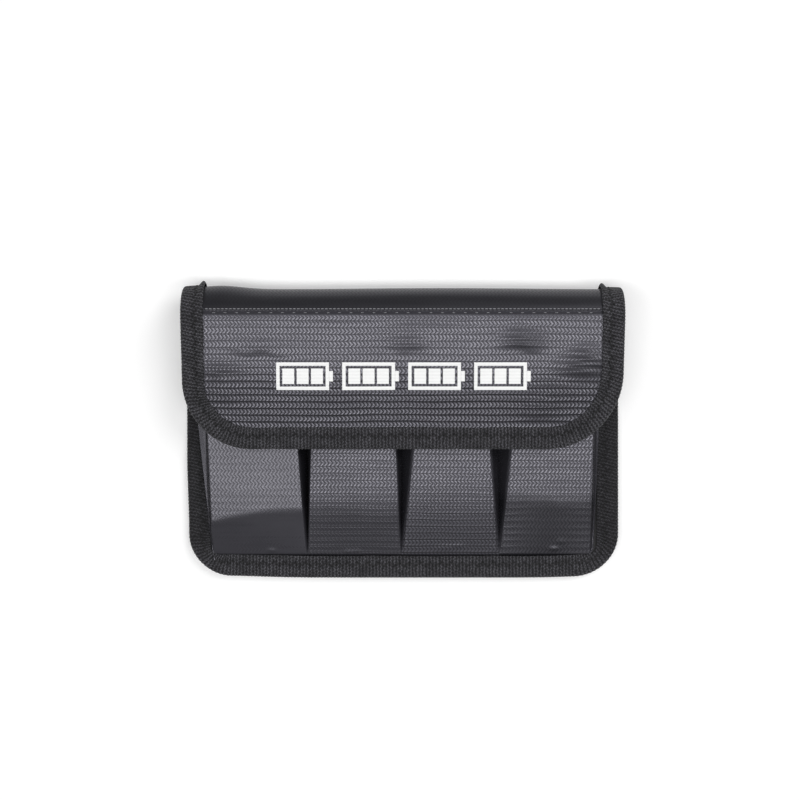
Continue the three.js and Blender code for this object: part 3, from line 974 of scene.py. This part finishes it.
def seam_strip():
    """The edge of the pockets' fabric, under the bottom binding."""
    end = SEAM_Y - 3.2
    rows = rows_to_edge(V_BOTTOM + PANEL_INSET, end, BODY_CORNER - PANEL_INSET, 1.0, True)
    rows = rows[rows <= end]
    side = body_side(rows)
    return layer("pocket_seam_edge", rows, -side, side, (3.0, 3.7), COATED, 0.3)


keep(seam_strip(), ["pocket_seam_strip"])

# ---- Hook strip under the flap ----
hook_rows = V_FOLD + steps(*HOOK_ROWS, 0.7)
hook_side = np.full(hook_rows.shape, HOOK_HALF)
hooks = layer("hook_tape_strip", hook_rows, -hook_side, hook_side, HOOK_DEPTH, HOOKS)
keep(hooks, ["hook_strip"])


# ---- Sewing ----
def make_stitches(name, starts, ends, normals, material, radius=THREAD, bow=0.22):
    """One mesh of many stitches. Each is a short thread that dives into the cloth at both ends."""
    starts, ends, normals = (np.asarray(a, float).reshape(-1, 3) for a in (starts, ends, normals))
    along = ends - starts
    side = np.cross(along, normals)
    side = side / np.linalg.norm(side, axis=1, keepdims=True)
    end, shoulder = (0.55, -0.28), (0.95, 0.02)
    stations = ((0.0, *end), (0.12, *shoulder), (0.5, 1.1, bow), (0.88, *shoulder), (1.0, *end))
    ring = 6
    points, uv = [], []
    for t, width, lift in stations:
        centre = starts + along * t + normals * lift
        for k in range(ring):
            turn = 2 * math.pi * k / ring
            points.append(centre + radius * width * (math.cos(turn) * side + math.sin(turn) * normals))
            uv.append(np.stack([np.full(len(starts), t * 2.5), np.full(len(starts), k * 0.2)], -1))
    points, uv = np.stack(points, 1), np.stack(uv, 1)
    per = points.shape[1]
    faces = []
    for s in range(len(stations) - 1):
        for k in range(ring):
            a, b = s * ring + k, s * ring + (k + 1) % ring
            faces.append((a, b, b + ring, a + ring))
    last = per - ring
    faces += [(0, 5, 4, 3), (0, 3, 2, 1)]
    faces += [(last, last + 1, last + 2, last + 3), (last, last + 3, last + 4, last + 5)]
    offsets = np.arange(len(starts))[:, None, None] * per
    every = (np.array(faces)[None] + offsets).reshape(-1, 4)
    return make_object(name, points.reshape(-1, 3), every, uv.reshape(-1, 2), material, sharp=180)


def plan_stitches(x, v, depth, length, gap, inside=False):
    """Stitches along a line of the unrolled plan: their starts, ends and outward directions."""
    x, v = np.asarray(x, float), np.asarray(v, float)
    run = running(np.hypot(np.diff(x), np.diff(v)))
    begin = np.arange(gap, run[-1] - length, length + gap)

    def at(r):
        return np.interp(r, run, x), np.interp(r, run, v)

    (x0, v0), (x1, v1) = at(begin), at(begin + length)
    middle = ((x0 + x1) / 2, (v0 + v1) / 2)
    outward = wrap(*middle, 1.0 if inside else -1.0) - wrap(*middle, 0.0)
    return wrap(x0, v0, depth), wrap(x1, v1, depth), outward


def join(lists):
    """Several lists of stitches as one."""
    return [np.concatenate(parts) for parts in zip(*lists)]


def tape_stitches(path, squeeze=0.0):
    """The two rows of zigzag stitches that hold folded tape: one on each face."""
    plan, inward, _ = path
    rows = []
    at = ZIGZAG_AT + ZIGZAG_HALF * zigzag(len(plan))
    for inside in (False, True):
        line = plan + inward * at[:, None] * (1 - squeeze * at_corner(inward))
        depth = edge_depth(line[:, 1]).mean() if inside else 0.0
        start, end, normal = plan_stitches(line[:, 0], line[:, 1], 0.0, 2.0, 0.85, inside)
        on_table = normal[:, 2:] < -0.98
        shift = depth if inside else np.where(on_table, -0.45, 0.10)
        start, end = start + normal * shift, end + normal * shift
        rows.append((start, end, normal))
    return join(rows)


for part, sewing in (("body", tape_stitches(body_path, BODY_SQUEEZE)), ("flap", tape_stitches(flap_path))):
    keep(make_stitches(f"{part}_tape_stitches", *sewing, DARK_THREAD, TAPE_THREAD))
for part in ("lower", "upper"):
    both = join([tape_stitches(spine_paths[part, side_name]) for side_name in ("left", "right")])
    keep(make_stitches(f"spine_{part}_tape_stitches", *both, DARK_THREAD))

seam_line = np.array([-HALF_WIDTH + 10.5, HALF_WIDTH - 10.5])
fine = plan_stitches(seam_line, np.full(2, V_SEAM - 0.85), SHELL_DEPTH[0] - 0.02, 1.25, 0.5)
coarse = plan_stitches(seam_line, np.full(2, V_SEAM + 0.9), SHELL_DEPTH[0] + 0.30, 1.3, 3.7)
keep(make_stitches("fold_edge_stitches", *fine, GREY_THREAD, 0.19, 0.14))
keep(make_stitches("fold_seam_stitches", *coarse, GREY_THREAD, 0.13, 0.10))


def box_stitches(half, low, high, depth):
    """A line of stitches round a rectangle on the flap's inside."""
    x = half * np.array([-1, 1, 1, -1, -1])
    v = np.array([low, low, high, high, low])
    return plan_stitches(x, v, depth, 2.2, 0.5, inside=True)


hook_low, hook_high = V_FOLD + HOOK_ROWS[0] + 1.4, V_FOLD + HOOK_ROWS[1] - 1.4
hook_sewing = box_stitches(HOOK_HALF - 1.4, hook_low, hook_high, HOOK_DEPTH[1] + 0.02)
keep(make_stitches("hook_strip_stitches", *hook_sewing, DARK_THREAD))


def front_stitches(index):
    """Stitches round a loop patch and along the hem of one pocket."""
    low, high = PATCH_ROWS[0] + 1, PATCH_ROWS[1] - 1
    middle = sum(POCKETS[index]["mouth"]) / 2
    left, right = edge_x(POCKETS[index], 0, low), edge_x(POCKETS[index], 1, low)
    width = right - left
    s0, s1 = ((middle + side * (PATCH_HALF - 1) - left) / width for side in (-1, 1))
    corners = [(s0, low), (s1, low), (s1, high), (s0, high), (s0, low)]
    sides = [(a, b, 0.97) for a, b in zip(corners, corners[1:])]
    hem = [((0.06, POCKET_LENGTH - 5), (0.94, POCKET_LENGTH - 5), 0.70)]
    length, pitch = 2.2, 2.7
    lines = []
    for (a0, d0), (a1, d1), height in sides + hem:
        run = math.hypot((a1 - a0) * width, d1 - d0)
        begin = np.arange(0.3, run - length, pitch) / run
        finish = begin + length / run
        start = front_point(index, a0 + (a1 - a0) * begin, d0 + (d1 - d0) * begin, height)
        end = front_point(index, a0 + (a1 - a0) * finish, d0 + (d1 - d0) * finish, height)
        lines.append((start, end, np.repeat([[0, -0.11, 0.994]], len(begin), 0)))
    return join(lines)


for pocket_index in range(len(POCKETS)):
    name = f"pocket_{pocket_index + 1}_stitches"
    keep(make_stitches(name, *front_stitches(pocket_index), DARK_THREAD))

divider_lines = [
    plan_stitches(np.full(2, x), np.array([SEAM_Y + 1, SEAM_Y + POCKET_LENGTH - 1]), 0.6, 2.4, 0.6)
    for x in VALLEYS
]
keep(make_stitches("divider_stitches", *join(divider_lines), DARK_THREAD))


# ---- Print on the flap: plain battery signs in white, one for each pocket ----
def print_bar(x0, x1, d0, d1):
    """One printed rectangle, as front and back grids with their UV."""
    x, d = np.meshgrid(steps(x0, x1, 0.8), steps(d0, d1, 0.8))
    v = V_FOLD + d
    depth = flap_front_depth(v)
    return wrap(x, v, depth - 0.07), wrap(x, v, depth + 0.02), pairs(x, v)


def battery_sign(centre):
    """A battery seen from its side: an outline with its terminal and three bars of charge."""
    half, top, bottom, line = 11.6, 21.4, 33.6, 1.5
    margin, gap = 1.2, 1.1
    left, right = centre - half, centre + half
    bars = [
        (left, right, top, top + line),
        (left, right, bottom - line, bottom),
        (left, left + line, top + line, bottom - line),
        (right - line, right, top + line, bottom - line),
        (right + 0.05, right + 1.7, top + 3.8, bottom - 3.8),
    ]
    width = (2 * half - 2 * line - 2 * margin - 2 * gap) / 3
    for k in range(3):
        start = left + line + margin + k * (width + gap)
        bars.append((start, start + width, top + line + margin, bottom - line - margin))
    return bars


def make_print():
    """All the signs as one mesh of thin printed rectangles."""
    points, faces, uv = [], [], []
    start = 0
    for centre in (-44.0, -15.0, 14.0, 43.0):
        for bar in battery_sign(centre):
            front, back, flat = print_bar(*bar)
            rows, columns = front.shape[:2]
            points += [front.reshape(-1, 3), back.reshape(-1, 3)]
            uv += [flat.reshape(-1, 2)] * 2
            faces.append(slab_faces(rows, columns, start))
            start += 2 * rows * columns
    return make_object("flap_print", np.concatenate(points), np.concatenate(faces), np.concatenate(uv), INK)


keep(make_print())

# ---- Transforms baked into most pieces' meshes; the felts, the seam edge, the hook strip, the print and two lines of stitches attached to the body or the flap ----
POINT_30, POINT_90, POINT_150 = (Vector(wrap(0, v, 0, still=True) * MM) for v in (V_30, V_90, V_150))
FLAP_START = Vector(wrap(0, V_FOLD + 5, 0, still=True) * MM)

for name in ("back_fabric", "back_lining_cloth", "body_binding_tape", "body_tape_stitches"):
    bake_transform(pieces[name])
for name in ("spine_fabric_lower", "spine_lining_lower"):
    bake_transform(pieces[name])
for name in ("spine_fabric_mid", "spine_lining_mid"):
    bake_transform(pieces[name])
for part in ("left", "right", "stitches"):
    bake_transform(pieces[f"spine_lower_tape_{part}"])
    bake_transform(pieces[f"spine_upper_tape_{part}"])
for name in ("spine_fabric_upper", "spine_lining_upper", "fold_edge_stitches", "fold_seam_stitches"):
    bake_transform(pieces[name])
for part in ("fabric", "lining_cloth", "binding_tape", "tape_stitches"):
    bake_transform(pieces[f"flap_{part}"])
for name in ("back_felt", "pocket_seam_edge", "divider_stitches"):
    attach(pieces[name], "body")
for name in ("flap_felt", "hook_tape_strip", "hook_strip_stitches", "flap_print"):
    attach(pieces[name], "flap")
for pocket_index in range(len(POCKETS)):
    body_name = f"pocket_{pocket_index + 1}"
    for part in ("cloth", "hem_tape", "loop_tape", "stitches"):
        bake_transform(pieces[f"{body_name}_{part}"])

# ---- The cloth sheets as they were cut ----
def panel(length, share=1.0):
    """Works out one panel's width and area, as wide as the pouch inside its tape, and passes them nowhere.
    Share is what its cut corners leave of it.
    """
    width = 2 * (HALF_WIDTH - PANEL_INSET)
    area = share * width * length * MM * MM
    length * MM


panel(V_30 - V_BOTTOM - 0.6, 0.985)
panel(SPINE_Y - V_BOTTOM - 0.8, 0.985)
panel(V_30 - V_BOTTOM - 0.6, 0.985)
for part, low, high in SPINE_PIECES[:2]:
    panel(high - low)
    inner_length = (high - low) * (1 - np.mean(LINING_DEPTH) / SPINE_RADIUS)
    panel(inner_length)
panel(V_END - V_SEAM + 0.3, 0.96)
panel(FLAP_LENGTH - 2.6, 0.96)
panel(FLAP_LENGTH - 1.6, 0.96)
for pocket_index, (width, length, area) in enumerate(pocket_cuts):
    cloth = pieces[f"pocket_{pocket_index + 1}_cloth"]
    flat = (width * MM, length * MM)
    area * MM * MM

# ---- Stage ----
floor_mesh = bpy.data.meshes.new("floor")
floor_mesh.from_pydata([(-3, -3, 0), (3, -3, 0), (3, 3, 0), (-3, 3, 0)], [], [(0, 1, 2, 3)])
floor = bpy.data.objects.new("floor", floor_mesh)
bpy.context.scene.collection.objects.link(floor)
floor.location.z = -0.0002
floor_nodes = Nodes("floor_paper")
floor_nodes.set("Emission Color", (1.0, 1.0, 1.0))
floor_nodes.set("Emission Strength", 0.20)
floor_mesh.materials.append(floor_nodes.finish((0.90, 0.90, 0.90), 0.9))


def area_light(name, place, size, power):
    """A rectangular lamp that looks at the middle of the pouch."""
    data = bpy.data.lights.new(name, "AREA")
    data.shape = "RECTANGLE"
    data.size, data.size_y = size
    data.energy = power
    lamp = bpy.data.objects.new(name, data)
    bpy.context.scene.collection.objects.link(lamp)
    lamp.location = place
    lamp.rotation_euler = (-Vector(place)).to_track_quat("-Z", "Y").to_euler()
    lamp.visible_camera = False


area_light("softbox_front", (0.0, -0.27, 1.3), (1.5, 0.28), 10.0)
area_light("strip_left", (-1.05, 0.0, 1.1), (0.6, 1.0), 4.0)
area_light("strip_right", (0.85, 0.65, 1.15), (0.8, 0.8), 9.5)

world = bpy.data.worlds.new("studio")
bpy.context.scene.world = world
world.use_nodes = True
sky = world.node_tree.nodes["Background"]
put(sky.inputs["Color"], (1.0, 1.0, 1.0))
put(sky.inputs["Strength"], 0.13)
bpy.context.scene.view_settings.view_transform = "Standard"

# ---- Camera: straight above ----
camera_data = bpy.data.cameras.new("camera")
camera_data.sensor_width = 36
camera_data.lens = 64.4
camera = bpy.data.objects.new("camera", camera_data)
bpy.context.scene.collection.objects.link(camera)
camera.location = (-0.0012, 0.0151, 0.650)
bpy.context.scene.camera = camera
